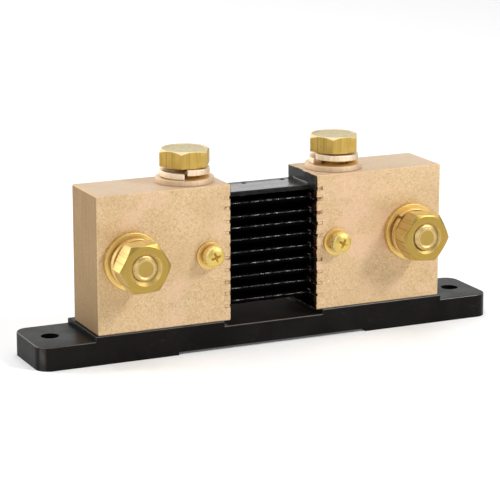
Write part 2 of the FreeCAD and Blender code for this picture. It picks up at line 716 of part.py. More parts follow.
def export(nodes):
    os.makedirs(PARTS_FOLDER, exist_ok=True)
    for node in nodes:
        if node.Shape.isNull() or not node.Shape.isValid() or node.Shape.Volume <= 0:
            raise RuntimeError(f"{node.Label} has no sound shape")
    for node in nodes:
        node.Shape.exportStep(os.path.join(PARTS_FOLDER, f"{node.Label}.step"))
        print(f"{node.Label}: {len(node.Shape.Solids)} solids, {node.Shape.Volume:.0f} mm3")


fill_sheet()
parts = [make_base()]
for name in SIDES:
    parts += [make_block(name), make_braze(name)]
    parts += make_terminal(name)
    parts += make_top_terminal(name)
    parts += make_sense_terminal(name)
parts += [make_blade(number) for number in range(BLADE_COUNT)]
parts += make_fixings()
check_document()
export(parts)
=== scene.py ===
"""The looks of a battery monitor's current shunt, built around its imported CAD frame.

Pieces are modelled in millimetres, each in its own space with +Z along its axis, and laid at the
places that the CAD nodes' boxes give. The frame: X along the base, -Y to the front, Z up, metres.
"""

import json
import math
import random

import bmesh
import bpy
from mathutils import Matrix, Vector, noise


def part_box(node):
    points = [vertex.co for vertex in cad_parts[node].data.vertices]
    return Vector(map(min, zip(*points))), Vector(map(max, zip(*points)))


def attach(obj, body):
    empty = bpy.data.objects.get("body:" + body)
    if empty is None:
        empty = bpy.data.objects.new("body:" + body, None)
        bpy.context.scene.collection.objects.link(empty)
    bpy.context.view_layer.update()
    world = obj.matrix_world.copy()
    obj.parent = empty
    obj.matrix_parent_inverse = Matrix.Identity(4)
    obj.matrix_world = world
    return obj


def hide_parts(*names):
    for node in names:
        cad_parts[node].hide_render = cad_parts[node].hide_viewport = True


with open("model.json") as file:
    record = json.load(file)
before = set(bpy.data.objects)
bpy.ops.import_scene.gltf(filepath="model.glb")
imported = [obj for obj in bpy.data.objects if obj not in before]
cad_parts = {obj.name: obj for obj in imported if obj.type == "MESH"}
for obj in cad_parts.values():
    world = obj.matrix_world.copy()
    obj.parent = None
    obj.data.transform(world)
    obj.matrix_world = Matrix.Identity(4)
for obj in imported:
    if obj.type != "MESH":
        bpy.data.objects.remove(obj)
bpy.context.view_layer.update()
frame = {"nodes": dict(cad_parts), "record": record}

MM = 0.001
SIDES = {"left": -1, "right": 1}
TAU = 2 * math.pi
SIN_30 = 0.5
COS_30 = math.cos(math.radians(30))
TAN_30 = math.tan(math.radians(30))

# ------------------ how finely the meshes are made

SAME_PLACE = 0.0004  # mm; vertices nearer than this are one
METAL_CREASE = 35  # degrees; sharper edges stay sharp, on metal
SOFT_CREASE = 50  # degrees; the same, on paint, braze and the CAD's own meshes
ARC_SHARE = 0.45  # the most of a side that one rounded corner takes
FINE_ARC = 4  # steps in the roundings that show most
ROUND_STEPS = 120  # round a flat washer
SENSE_ROUND_STEPS = 96  # round a sense screw
SPRING_STEPS = 110  # along a spring washer
HEX_FLAT_STEPS = 15  # across one flat of a hexagon
ROWS_PER_PITCH = 10  # along a thread

# ------------------ sizes, in millimetres

M10 = {"pitch": 1.5, "crest": 4.95, "root": 4.15}
M4 = {"pitch": 0.7, "crest": 1.97, "root": 1.55}
THREAD_GAP = 0.09  # between the flanks of a bolt and a nut
THREAD_CREST_FLAT = 0.125  # share of the pitch
THREAD_ROOT_FLAT = 0.25  # share of the pitch
THREAD_RUN_OUT = 0.8  # slope at which a thread fades out under the head

HEX_FLATS = 17.0
HEX_BEVEL_RADIUS = 8.1
HEX_CORNER_ROUND = 0.35
HEAD_HEIGHT = 6.4
HEAD_FACE_HEIGHT = 0.4
NUT_HEIGHT = 8.0
NUT_BORE = 4.3
NUT_MOUTH_RADIUS = 5.95
NUT_MOUTH_SLOPE = 1.2  # how fast the mouth narrows with depth
BOLT_END_RADIUS = 3.6
BOLT_RIM = 0.25  # height of the rounded rim at a bolt's end
BOLT_DISH = 0.5  # depth of the hollow in a bolt's end
BOLT_DISH_WALL = 0.75  # width of the hollow's sloping wall
BOLT_DISH_ROUND = 0.5
HEAD_DISH_RADIUS = 7.75
HEAD_DISH = 0.3  # depth of the flat hollow in a bolt's head
TERMINAL_BOLT_LENGTH = 40.0
TOP_BOLT_LENGTH = 25.0
EDGE_ROUND = 0.24

WASHER = {"radius": 10.5, "bore": 5.25, "thickness": 2.0, "edge": 0.3}
SMALL_WASHER = {"radius": 5.0, "bore": 2.65, "thickness": 1.0, "edge": 0.15}
SPRING = {"radius": 9.05, "bore": 5.2, "section": 2.2, "edge": 0.3}
SMALL_SPRING = {"radius": 3.6, "bore": 2.1, "section": 0.9, "edge": 0.12}
SPRING_TURNS = 0.98  # less than 1, which leaves the split

SENSE_HEAD_RADIUS = 3.9
SENSE_HEAD_HEIGHT = 2.9
SENSE_HEAD_SIDE = 0.9  # height of the head's straight side
SENSE_EDGE_ROUND = 0.2
SENSE_LENGTH = 10.0
SENSE_END_BEVEL = 0.1
DOME_STEPS = 14
DOME_WIDTH_POWER = 0.85  # below 1, these two fill out the dome past a quarter ellipse
DOME_HEIGHT_POWER = 0.8
RECESS_REACH = 2.0  # half width of the cross
RECESS_FLOOR_REACH = 1.1
RECESS_SLOT = 0.46  # half thickness of its wings
RECESS_FLOOR_SLOT = 0.32
RECESS_DEPTH = 1.9
RECESS_TIP = 0.45  # depth of the pointed bottom below the recess's floor
RECESS_BEVEL = 0.05  # softening of the recess's edges
CUTTER_OVER = 0.4  # how far the recess's cutter stands above the head

# Angles at rest about each piece's own axis, in degrees, the same as the CAD's.
NUT_TURN = {"left": 2.6, "right": -4.7}
TOP_BOLT_TURN = {"left": -0.5, "right": -2.5}
TOP_SPRING_TURN = {"left": -113.0, "right": -170.0}
TERMINAL_SPRING_TURN = {"left": 60.0, "right": 130.0}
SENSE_SPRING_TURN = {"left": -60.0, "right": 200.0}
SENSE_TURN = {"left": 18.0, "right": -27.0}

HALF_GAP = 17.0  # from the middle to a block's inner face
SAW_CUT = 2.5  # how deep the blades' ends go into the blocks

BLADES = [f"blade_{number:02d}" for number in range(1, 11)]  # the CAD nodes, from the top
BLADE_HALF_DEPTH = 7.5  # along Y
BLADE_HALF_THICKNESS = 0.6
BLADE_STEP = 0.4  # length of one mesh step along a blade
BLADE_ROUND_STEP = 1.1  # and across it
BLADE_EDGE = 0.42  # rounding of the painted edges
BLADE_EDGE_STEPS = 5
BLADE_EDGE_FROM = 7.0  # a point farther than this from the middle is on an edge
HOLE_PLACES = (-4.0, 11.6)  # of the two calibration holes, along X
HOLE_Y = 5.5
HOLE_RADIUS = 0.9
HOLE_SIDES = 32
HOLE_CUTTER_REACH = 2  # above and below the blade's middle

# The paint's surface: waves, each a height and a length, and how they fade and gather.
PAINT_WAVE = (0.11, 5.0)
PAINT_RIPPLE = (0.05, 1.4)
EDGE_WAVE = (0.14, 3.0)
FLAT_SHARE = 0.6  # share of the waves that shows on the flat sides
PAINT_FADE = 1.5  # length over which the waves die away before a block
PAINT_BEAD = 0.45  # paint gathered along a blade's lower front and upper rear edges
BEAD_FROM = 6.6  # where a bead starts, from the blade's middle
BEAD_WIDTH = 0.9
DRIP_COUNT = 5
DRIP_REACH = 15  # how far from the middle a drip may hang
DRIP_SIZE = (0.12, 0.38)
DRIP_WIDTH = (0.3, 0.7)
DRIP_TOP_SHARE = 0.25  # share of a drip that shows on the blade's upper side

# The paint fillets where the blades meet the blocks.
FILLET_SIZE = 0.45
FILLET_WAVE = (0.3, 2.2)
FILLET_LEAST = 0.3
FILLET_STEPS = 6
FILLET_IN_BLOCK = 0.12  # how far a fillet reaches into what it joins
FILLET_IN_BLADE = 0.15
FILLET_FRONT_FROM = 5.5  # past this, towards the front, a fillet grows
FILLET_FRONT_LENGTH = 2
FILLET_FRONT_GROWTH = 0.35

# The braze lumps: the range of each uneven measure, and then their rounding and waves.
BRAZE_SUNK = (0.02, 0.12)
BRAZE_LIFT = (-0.05, 0.05)
BRAZE_HALF_HEIGHT = (0.5, 0.58)
BRAZE_SHORT = (0.0, 0.15)
BRAZE_INNER = (-0.05, 0.25)
BRAZE_ROUND = 0.2
BRAZE_STEPS = 8
BRAZE_WAVE = (0.06, 1.2)

# Seeds for what is uneven.
DRIP_SEED = 100
RIPPLE_SEED = 40
EDGE_SEED = 80
FILLET_SEED = 20
BRAZE_SEED = {"left": 7, "right": 11}
WANDER_STEP = 17.3  # how far apart two seeds' noise lies

# ------------------ meshes


def new_object(name, data):
    """An object in the scene."""
    made = bpy.data.objects.new(name, data)
    bpy.context.scene.collection.objects.link(made)
    return made


def make_piece(name, vertices, faces, place, material, crease=METAL_CREASE):
    """An object from vertices in millimetres, with doubled vertices and empty faces removed."""
    mesh = bpy.data.meshes.new(name)
    mesh.from_pydata([Vector(v) * MM for v in vertices], [], faces)
    clean = bmesh.new()
    clean.from_mesh(mesh)
    bmesh.ops.remove_doubles(clean, verts=clean.verts, dist=SAME_PLACE * MM)
    bmesh.ops.dissolve_degenerate(clean, dist=SAME_PLACE * MM, edges=clean.edges)
    bmesh.ops.recalc_face_normals(clean, faces=clean.faces)
    clean.to_mesh(mesh)
    clean.free()
    shade(mesh, crease)
    mesh.materials.append(material)
    piece = new_object(name, mesh)
    piece.matrix_world = place
    return piece


def shade(mesh, degrees):
    """Smooth shading, with edges sharper than an angle left sharp."""
    for face in mesh.polygons:
        face.use_smooth = True
    mesh.set_sharp_from_angle(angle=math.radians(degrees))


def grid(columns, closed):
    """Vertices and quads of neighbouring columns of points; closed joins the last to the first."""
    vertices = [point for column in columns for point in column]
    rows = len(columns[0])
    count = len(columns)
    faces = []
    for index in range(count if closed else count - 1):
        here, there = index * rows, (index + 1) % count * rows
        faces += [(here + k, there + k, there + k + 1, here + k + 1) for k in range(rows - 1)]
    return vertices, faces


def tube(columns):
    """A tube whose columns are closed outlines, each ending where it starts, with a face at each end."""
    vertices, faces = grid(columns, False)
    rows = len(columns[0])
    last = (len(columns) - 1) * rows
    faces.append(tuple(range(rows - 1)))
    faces.append(tuple(last + row for row in reversed(range(rows - 1))))
    return vertices, faces


def joined(*parts):
    """Several (vertices, faces) pairs as one."""
    vertices, faces = [], []
    for part_vertices, part_faces in parts:
        start = len(vertices)
        vertices += part_vertices
        faces += [tuple(start + index for index in face) for face in part_faces]
    return vertices, faces


def rounded(corners, radius, steps=3, closed=False):
    """A flat outline with its corners turned into arcs; an open one keeps its two ends."""
    points = [Vector(corner) for corner in corners]
    count = len(points)
    result = []
    for index, corner in enumerate(points):
        if not closed and index in (0, count - 1):
            result.append(corner)
            continue
        back = points[index - 1] - corner
        ahead = points[(index + 1) % count] - corner
        half = back.angle(ahead) / 2
        reach = min(radius / math.tan(half), ARC_SHARE * back.length, ARC_SHARE * ahead.length)
        size = reach * math.tan(half)
        centre = corner + (back.normalized() + ahead.normalized()).normalized() * (size / math.sin(half))
        start = corner + back.normalized() * reach - centre
        end = corner + ahead.normalized() * reach - centre
        for step in range(steps + 1):
            arm = start.lerp(end, step / steps).normalized() * size
            result.append(centre + arm)
    return result


def turned(outline, angles):
    """An outline of (radius, height) points turned round the Z axis at the given angles."""
    return [[(r * math.cos(a), r * math.sin(a), z) for r, z in outline] for a in angles]


def even_angles(count):
    """The angles of evenly spaced points on a circle."""
    return [TAU * index / count for index in range(count)]


def hexagon_points():
    """(angle, radius) pairs round a hexagon with rounded corners, finer at the corners."""
    inner = (HEX_FLATS / 2 - HEX_CORNER_ROUND) / COS_30
    tangent = math.atan(HEX_CORNER_ROUND * SIN_30 / (inner + HEX_CORNER_ROUND * COS_30))
    pairs = []
    for corner in range(6):
        middle = math.radians(60 * corner)
        for share in (-1, -0.5, 0, 0.5, 1):
            off = tangent * share
            across = math.sqrt(HEX_CORNER_ROUND ** 2 - (inner * math.sin(off)) ** 2)
            pairs.append((middle + off, inner * math.cos(off) + across))
        flat = math.radians(60) - 2 * tangent
        for step in range(1, HEX_FLAT_STEPS):
            off = tangent + flat * step / HEX_FLAT_STEPS
            pairs.append((middle + off, HEX_FLATS / 2 / math.cos(off - math.radians(30))))
    return pairs


HEXAGON = hexagon_points()
HEX_ANGLES = [angle for angle, _ in HEXAGON]


def thread_radius(height, angle, thread):
    """Radius of a right-handed thread's surface at a height and an angle."""
    place = (height / thread["pitch"] - angle / TAU) % 1
    from_crest = abs(place - 0.5) * 2
    fall = (from_crest - THREAD_CREST_FLAT) / (1 - THREAD_ROOT_FLAT - THREAD_CREST_FLAT)
    return thread["crest"] - (thread["crest"] - thread["root"]) * min(max(fall, 0), 1)


def thread_sleeve(angles, low, high, thread, radius_at, shift=0.0):
    """The winding surface of a thread from low to high; radius_at(height, angle) shapes it. Its rows
    follow the helix, moved up by shift, so each crest is a clean line; they end at low and high."""
    pitch = thread["pitch"]
    rows = ROWS_PER_PITCH * math.ceil((high - low) / pitch + 2) + 1
    start = math.floor((low - shift) / pitch) * pitch + shift
    columns = []
    for angle in angles:
        column = []
        for row in range(rows):
            rise = (row / ROWS_PER_PITCH + angle / TAU - 1) * pitch
            height = min(max(start + rise, low), high)
            radius = radius_at(height, angle)
            column.append((radius * math.cos(angle), radius * math.sin(angle), height))
        columns.append(column)
    vertices, faces = grid(columns, False)
    last = (len(columns) - 1) * rows
    for row in range(rows - 1 - ROWS_PER_PITCH):
        ahead = row + ROWS_PER_PITCH
        faces.append((last + row, ahead, ahead + 1, last + row + 1))
    return vertices, faces


def soften_edges(piece, width):
    """Bevel a metal piece's sharp edges."""
    bevel = piece.modifiers.new("soft_edges", "BEVEL")
    bevel.width = width * MM
    bevel.segments = 2
    bevel.limit_method = "ANGLE"
    bevel.angle_limit = math.radians(METAL_CREASE)
    bevel.harden_normals = True


# ------------------ material nodes


NOISE_LOW, NOISE_HIGH = 0.3, 0.7  # nearly all of a noise's range; its scale is in features per metre


def linear(value):
    """A screen value from 0 to 255 as the linear value from 0 to 1 that nodes take."""
    share = value / 255
    return share / 12.92 if share <= 0.04045 else ((share + 0.055) / 1.055) ** 2.4


class Shader:
    """A material's node tree, with short calls for the nodes used here."""

    def __init__(self, name):
        self.material = bpy.data.materials.new(name)
        self.material.use_nodes = True
        self.tree = self.material.node_tree
        self.surface = self.tree.nodes["Principled BSDF"]
        self.place = self.node("ShaderNodeTexCoord").outputs["Object"]

    def node(self, kind, inputs=None, **settings):
        made = self.tree.nodes.new(kind)
        for key, value in settings.items():
            setattr(made, key, value)
        for key, value in (inputs or {}).items():
            self.feed(made.inputs[key], value)
        return made

    def feed(self, socket, value):
        """Link an output to a socket, or set its value; a colour is given as three screen values."""
        if isinstance(value, bpy.types.NodeSocket):
            self.tree.links.new(value, socket)
        elif socket.type == "RGBA":
            socket.default_value = (*(linear(part) for part in value), 1.0)
        else:
            socket.default_value = value

    def scaled(self, x, y, z):
        """The place on the piece, stretched along its axes."""
        return self.node("ShaderNodeMapping", {"Vector": self.place, "Scale": (x, y, z)}).outputs[0]

    def noise(self, scale, detail=4.0, rough=0.6, place=None, distortion=0.0):
        inputs = {"Vector": place or self.place, "Scale": scale, "Detail": detail,
                  "Roughness": rough, "Distortion": distortion}
        return self.node("ShaderNodeTexNoise", inputs).outputs["Fac"]

    def math(self, operation, first, second=0.0):
        return self.node("ShaderNodeMath", {0: first, 1: second}, operation=operation).outputs[0]

    def product(self, first, second):
        return self.math("MULTIPLY", first, second)

    def total(self, first, second):
        return self.math("ADD", first, second)

    def size_of(self, value):
        return self.math("ABSOLUTE", value)

    def axes_of(self, vector):
        """A vector's three parts."""
        return self.node("ShaderNodeSeparateXYZ", {"Vector": vector}).outputs

    def span(self, value, low=NOISE_LOW, high=NOISE_HIGH, to_low=0.0, to_high=1.0, smooth=True):
        """A value between low and high spread over another range."""
        kind = "SMOOTHSTEP" if smooth else "LINEAR"
        inputs = {"Value": value, "From Min": low, "From Max": high, "To Min": to_low, "To Max": to_high}
        return self.node("ShaderNodeMapRange", inputs, interpolation_type=kind, clamp=True).outputs[0]

    def within(self, value, limits):
        """0 to 1 as a value goes from the first limit to the second, both in millimetres."""
        return self.span(value, limits[0] * MM, limits[1] * MM)

    def ragged(self, pattern, limits, smooth=True):
        """A noise spread between two limits in millimetres."""
        return self.span(pattern, NOISE_LOW, NOISE_HIGH, limits[0] * MM, limits[1] * MM, smooth)

    def mix(self, share, first, second):
        """Between two colours by a share."""
        inputs = {0: share, 6: first, 7: second}
        return self.node("ShaderNodeMix", inputs, data_type="RGBA", clamp_result=False).outputs[2]

    def tint(self, tone, pattern, low, high, most, other):
        """A tone with another mixed in as the pattern goes from low to high, up to a share."""
        return self.mix(self.span(pattern, low, high, 0.0, most), tone, other)

    def blend(self, share, first, second):
        """Between two plain values by a share."""
        inputs = {0: share, 2: first, 3: second}
        return self.node("ShaderNodeMix", inputs, data_type="FLOAT", clamp_factor=True).outputs[0]

    def bump(self, height, strength, distance, under=None):
        inputs = {"Height": height, "Strength": strength, "Distance": distance * MM}
        if under is not None:
            inputs["Normal"] = under
        return self.node("ShaderNodeBump", inputs).outputs[0]

    def finish(self, **inputs):
        """Feed the surface's sockets, whose names are given with _ for a space."""
        for key, value in inputs.items():
            self.feed(self.surface.inputs[key.replace("_", " ")], value)
        return self.material


# ------------------ materials

PAINT_OVER = (17.05, 17.4)  # mm from the middle to the paint's ragged edge on a block
BROWN_FROM = 12.2  # mm; in front of this the paint on a block is thin and brown
BROWN_RAGGED = (-1.6, 1.6)
BROWN_FADE = (-0.6, 0.8)
BRAZE_PAINT_OVER = (17.3, 17.7)
GLOSS_ENDS = (-6.0, -6.8)  # mm from a blade's middle to the front, where the gloss dies away
GLINTS_BEGIN = (-6.7, -7.2)  # and where the dull paint of the lower blades glints
GLINTS_ABOVE = (0.0, 0.3)
HOLLOW_EDGE = 0.5  # mm; width of the change of tone round a bolt head's hollow
GOLD_REFLECTION_EDGE = 0.4  # and round the gold painted reflection in a washer's middle

BASE_STRAIGHT = (85.0, 9.25)  # half the base's length and depth, without its round corners
BASE_RIM = (4.55, 4.95)  # out from there, where the painted highlight on its rim starts and is full
BASE_CORNER = (2.0, 3.3)  # the same, along both X and Y, for the painted highlight on its corners
BASE_PADS = (19.7, 69.0)  # where the raised pads start and end, from the middle
BASE_UNDER_BLADES_SHADE = (19.0, 16.5)  # where the painted shade under the blades, between the pads, begins and is full
# height above which the top between the pads takes the painted shade
UNDER_BLADES_SHADE_ABOVE = 8.3
FOOT_TOP = 8.7
PAD_RISE = 1.8
RIM_HIGHLIGHT_DEPTH = (0.5, 0.1)  # how far below its top the rim's painted highlight starts and is full


def block_material():
    """Tumbled brass: mottled and speckled, brushed on its ends, painted black where blades enter; darker
    ends are painted shade and a paler top is a painted highlight.
    """
    s = Shader("tumbled_brass")
    x, y, z = s.axes_of(s.place)
    across, _, up = s.axes_of(s.node("ShaderNodeNewGeometry").outputs["Normal"])

    clouds = s.noise(60, detail=3, rough=0.5)
    grain = s.noise(1100, detail=5, rough=0.75)
    speck = s.noise(2600, detail=3, rough=0.6)
    pink = s.noise(45, detail=3, place=s.scaled(-1, 1, 1.6))
    dim = s.noise(28, detail=2, place=s.scaled(1, 1, 1.3))
    tan = s.mix(s.span(clouds, 0.35, 0.65), (214, 185, 143), (221, 193, 153))
    tan = s.tint(tan, grain, 0.45, 0.75, 0.6, (186, 152, 106))
    tan = s.tint(tan, speck, 0.52, 0.72, 0.6, (247, 226, 194))
    tan = s.tint(tan, speck, 0.46, 0.30, 0.5, (158, 124, 82))
    tan = s.tint(tan, pink, 0.50, 0.66, 0.5, (234, 199, 170))
    tan = s.tint(tan, dim, 0.52, 0.68, 0.35, (200, 168, 128))

    # The ends are brushed, and their darker tone is painted shade for the weaker light that falls on them.
    brushed = s.noise(60, detail=6, rough=0.75, place=s.scaled(30, 30, 0.8))
    shaded_end_tone = s.mix(s.span(brushed), (112, 88, 55), (146, 118, 80))
    on_end = s.span(s.size_of(across), 0.8, 0.95)
    tan = s.mix(s.product(on_end, 0.75), tan, shaded_end_tone)
    # Painted highlight: faces that point up are mixed towards a paler tone.
    tan = s.tint(tan, up, 0.8, 0.95, 0.6, (206, 187, 168))

    # Black paint on the faces between the blocks, run a little over the edges.
    reach = s.ragged(s.noise(420), PAINT_OVER, smooth=False)
    painted = s.math("LESS_THAN", s.size_of(x), reach)
    before = s.math("SUBTRACT", -BROWN_FROM * MM, y)
    thin = s.within(s.total(before, s.ragged(s.noise(260), BROWN_RAGGED)), BROWN_FADE)
    tone = s.mix(painted, tan, s.mix(thin, (6, 5, 4), (56, 30, 22)))

    rough = s.blend(painted, s.span(grain, to_low=0.52, to_high=0.66), 0.75)
    metal = s.blend(painted, 0.6, 0.0)
    dents = s.bump(grain, 0.25, 0.12, s.bump(speck, 0.35, 0.06))
    lines = s.bump(s.product(brushed, on_end), 0.35, 0.08, dents)
    over_blades = s.product(painted, s.math("GREATER_THAN", z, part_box("blade_01")[1].z))
    sheen = s.product(over_blades, s.span(clouds, 0.35, 0.65, 0.3, 0.9))
    return s.finish(Base_Color=tone, Roughness=rough, Metallic=metal, Normal=lines, Specular_IOR_Level=0.0,
                    Coat_Weight=sheen, Coat_Roughness=0.35)


def hardware_material(name, shades, dullness, is_bolt=False, gold_reflection_radius=None):
    """Bright turned brass: rings on the faces, drawn lines on the flats, faint tarnish. The shades
    are a darker and a lighter one, the stains' and the faces'; the faces' tone is painted light, a
    painted shade where it is darker than the sides. A bolt has pale bevels, a painted highlight, and a
    dull hollow in its head; a washer may have a gold painted reflection within a radius."""
    s = Shader(name)
    low, high, stain, face_light_tone = shades
    x, y, z = s.axes_of(s.place)
    radius = s.math("POWER", s.total(s.product(x, x), s.product(y, y)), 0.5)
    ring_place = s.node("ShaderNodeCombineXYZ", {"X": radius}).outputs[0]
    rings = s.noise(2600, detail=3, place=ring_place)
    drawn = s.noise(1300, detail=3, rough=0.7, place=s.scaled(1, 1, 0.03))
    clouds = s.noise(160, detail=5)
    spots = s.noise(620, detail=4)
    up = s.size_of(s.axes_of(s.node("ShaderNodeTexCoord").outputs["Normal"])[2])
    on_face = s.span(up, 0.90, 0.97) if is_bolt else s.span(up, 0.70, 0.85)
    marks = s.blend(on_face, drawn, rings)

    tone = s.mix(s.span(clouds), low, high)
    tone = s.tint(tone, marks, 0.45, 0.7, 0.5, stain)
    tone = s.tint(tone, spots, 0.58, 0.78, 0.5, stain)
    # Painted light: faces across the axis take a tone of their own, a painted shade where it is darker than
    # the sides.
    tone = s.mix(s.product(on_face, 0.8), tone, face_light_tone)
    rough = s.total(s.span(clouds, to_low=0.26, to_high=0.38), s.span(marks, 0.3, 0.8, 0.0, 0.08))
    rough = s.total(rough, s.span(on_face, 0.0, 1.0, 0.14 + dullness, dullness))
    if is_bolt:
        # Painted highlight: a bolt's bevels are paler, most of all on its head.
        on_bevel = s.math("SUBTRACT", s.span(up, 0.45, 0.75), on_face)
        on_head = s.math("LESS_THAN", z, 0.0)
        bevel_highlight_share = s.blend(on_head, 0.3, 0.7)
        tone = s.mix(s.product(on_bevel, bevel_highlight_share), tone, (252, 238, 204))
        inside = s.within(radius, (HEAD_DISH_RADIUS, HEAD_DISH_RADIUS - HOLLOW_EDGE))
        in_hollow = s.product(inside, s.math("LESS_THAN", z, -HEAD_FACE_HEIGHT * MM))
        dull = s.mix(s.span(spots), (184, 171, 132), (203, 190, 150))
        tone = s.mix(in_hollow, tone, dull)
        rough = s.blend(in_hollow, rough, 0.5)
    if gold_reflection_radius:
        # Painted reflection: a gold ring within the spring washer's radius, for the brass seen in the gap
        # under it.
        painted_light_share = s.within(radius, (gold_reflection_radius, gold_reflection_radius - GOLD_REFLECTION_EDGE))
        tone = s.mix(painted_light_share, tone, (240, 200, 96))
    height = s.bump(spots, 0.12, 0.05, s.bump(marks, 0.16, 0.03))
    return s.finish(Base_Color=tone, Roughness=rough, Metallic=1.0, Normal=height)


def black_paint(s):
    """Black paint's tone and uneven height, and the two finer noises that they come from."""
    swell = s.noise(240, detail=2)
    peel = s.noise(1500, detail=3)
    dust = s.noise(5200, detail=2)
    tone = s.mix(s.span(swell, 0.35, 0.7), (12, 11, 11), (30, 26, 24))
    tone = s.tint(tone, dust, 0.68, 0.78, 0.5, (92, 86, 80))
    height = s.bump(peel, 0.16, 0.04, s.bump(swell, 0.3, 0.15))
    return tone, height, peel, dust


def gloss_paint_material():
    """Black paint, brushed thick over the uppermost blade, with no gloss along its front edge."""
    s = Shader("gloss_black_paint")
    tone, height, peel, dust = black_paint(s)
    rough = s.total(s.span(peel, to_low=0.12, to_high=0.26), s.span(dust, 0.6, 0.8, 0.0, 0.2))
    at_front = s.within(s.axes_of(s.place)[1], GLOSS_ENDS)
    rough = s.blend(at_front, rough, 0.6)
    shine = s.blend(at_front, 0.9, 0.15)
    return s.finish(Base_Color=tone, Roughness=rough, Normal=height, Specular_IOR_Level=shine)


def dull_paint_material():
    """Black paint that dried in the narrow gaps without gloss, but for glints on the front edges; away from
    those edges it is near black, a painted shade between the blades.
    """
    s = Shader("dull_black_paint")
    tone, height, _, _ = black_paint(s)
    _, y, z = s.axes_of(s.place)
    at_edge = s.product(s.within(y, GLINTS_BEGIN), s.within(z, GLINTS_ABOVE))
    # Painted shade: away from the front edge the paint is near black, for the shade between the blades.
    tone = s.mix(at_edge, (6, 5, 5), tone)
    glint = s.product(at_edge, s.span(s.noise(430, detail=2), 0.40, 0.56, 0.12, 1.0))
    return s.finish(Base_Color=tone, Roughness=0.9, Normal=height, Specular_IOR_Level=0.0,
                    Coat_Weight=glint, Coat_Roughness=0.22)


def beyond(s, value, limit):
    """How far a value's size goes past a limit in millimetres, or 0."""
    return s.math("MAXIMUM", s.math("SUBTRACT", s.size_of(value), limit * MM), 0.0)


def base_material():
    """Black phenolic moulding with a half gloss, dusty and scuffed in places; painted shade under the blades
    and painted highlights along its edges and corners.
    """
    s = Shader("black_phenolic")
    x, y, z = s.axes_of(s.place)
    flow = s.noise(55, detail=4, distortion=0.6)
    grit = s.noise(1700, detail=4, rough=0.7)
    dust = s.noise(4200, detail=2)
    scuff = s.noise(300, detail=5, rough=0.7, place=s.scaled(0.35, 1, 1))
    tone = s.mix(s.span(flow), (14, 12, 11), (24, 22, 20))
    tone = s.tint(tone, dust, 0.66, 0.76, 0.45, (98, 92, 86))
    tone = s.tint(tone, scuff, 0.60, 0.78, 0.35, (62, 57, 53))
    rough = s.total(s.span(flow, to_low=0.30, to_high=0.42), s.span(grit, 0.4, 0.8, 0.0, 0.16))

    # Painted shade under the blades: a dark brown, rough top between the pads.
    between = s.within(s.size_of(x), BASE_UNDER_BLADES_SHADE)
    under_blades_shade = s.product(between, s.math("GREATER_THAN", z, UNDER_BLADES_SHADE_ABOVE * MM))
    brown = s.mix(s.span(flow), (15, 10, 7), (27, 19, 13))
    tone = s.mix(under_blades_shade, tone, brown)
    rough = s.blend(under_blades_shade, rough, 0.9)

    # A painted highlight along the upper edges, where the outline, a rectangle with round corners, meets the
    # top; the edges also get a coat of gloss.
    along = beyond(s, x, BASE_STRAIGHT[0])
    across = beyond(s, y, BASE_STRAIGHT[1])
    reach = s.math("SQRT", s.total(s.product(along, along), s.product(across, across)))
    outside = s.within(reach, BASE_RIM)
    begin, end = BASE_PADS
    on_pad = s.product(s.math("GREATER_THAN", s.size_of(x), begin * MM),
                       s.math("LESS_THAN", s.size_of(x), end * MM))
    top = s.total(s.product(on_pad, PAD_RISE * MM), FOOT_TOP * MM)
    edge = s.product(outside, s.within(s.math("SUBTRACT", top, z), RIM_HIGHLIGHT_DEPTH))
    # Painted highlight: the upper edges are paler, broken up by the scuff noise.
    painted_light_share = s.product(edge, s.span(scuff, 0.3, 0.6, 0.45, 1.0))
    tone = s.mix(painted_light_share, tone, (88, 83, 79))
    # Painted highlight: a paler band round the corners.
    corner_highlight = s.product(outside, s.within(s.math("MINIMUM", along, across), BASE_CORNER))
    tone = s.mix(s.product(corner_highlight, s.span(scuff, 0.35, 0.65, 0.25, 0.6)), tone, (92, 88, 86))
    height = s.bump(flow, 0.12, 0.3, s.bump(grit, 0.22, 0.05))
    return s.finish(Base_Color=tone, Roughness=rough, Normal=height, Specular_IOR_Level=0.07,
                    Coat_Weight=edge, Coat_Roughness=0.3)


def braze_material():
    """Braze in the saw cuts: coppery and oxidised, black where the paint has run over it."""
    s = Shader("oxidised_braze")
    clouds = s.noise(330, detail=4)
    grain = s.noise(2200, detail=4)
    tone = s.mix(s.span(clouds, 0.30, 0.50), (150, 96, 70), (222, 188, 150))
    tone = s.tint(tone, grain, 0.5, 0.75, 0.6, (30, 20, 15))
    x = s.axes_of(s.place)[0]
    painted = s.math("LESS_THAN", s.size_of(x), s.ragged(clouds, BRAZE_PAINT_OVER))
    tone = s.mix(painted, tone, (12, 9, 8))
    rough = s.span(grain, to_low=0.5, to_high=0.75)
    metal = s.blend(painted, 0.5, 0.0)
    return s.finish(Base_Color=tone, Roughness=rough, Metallic=metal, Normal=s.bump(grain, 0.5, 0.08),
                    Specular_IOR_Level=0.2)


def zinc_material():
    """Zinc plating on the screws under the base."""
    s = Shader("zinc_plate")
    clouds = s.noise(300, detail=4)
    grain = s.noise(2600, detail=3)
    tone = s.mix(s.span(clouds), (168, 170, 172), (206, 207, 204))
    rough = s.span(grain, to_low=0.26, to_high=0.42)
    return s.finish(Base_Color=tone, Roughness=rough, Metallic=1.0, Normal=s.bump(grain, 0.2, 0.04))


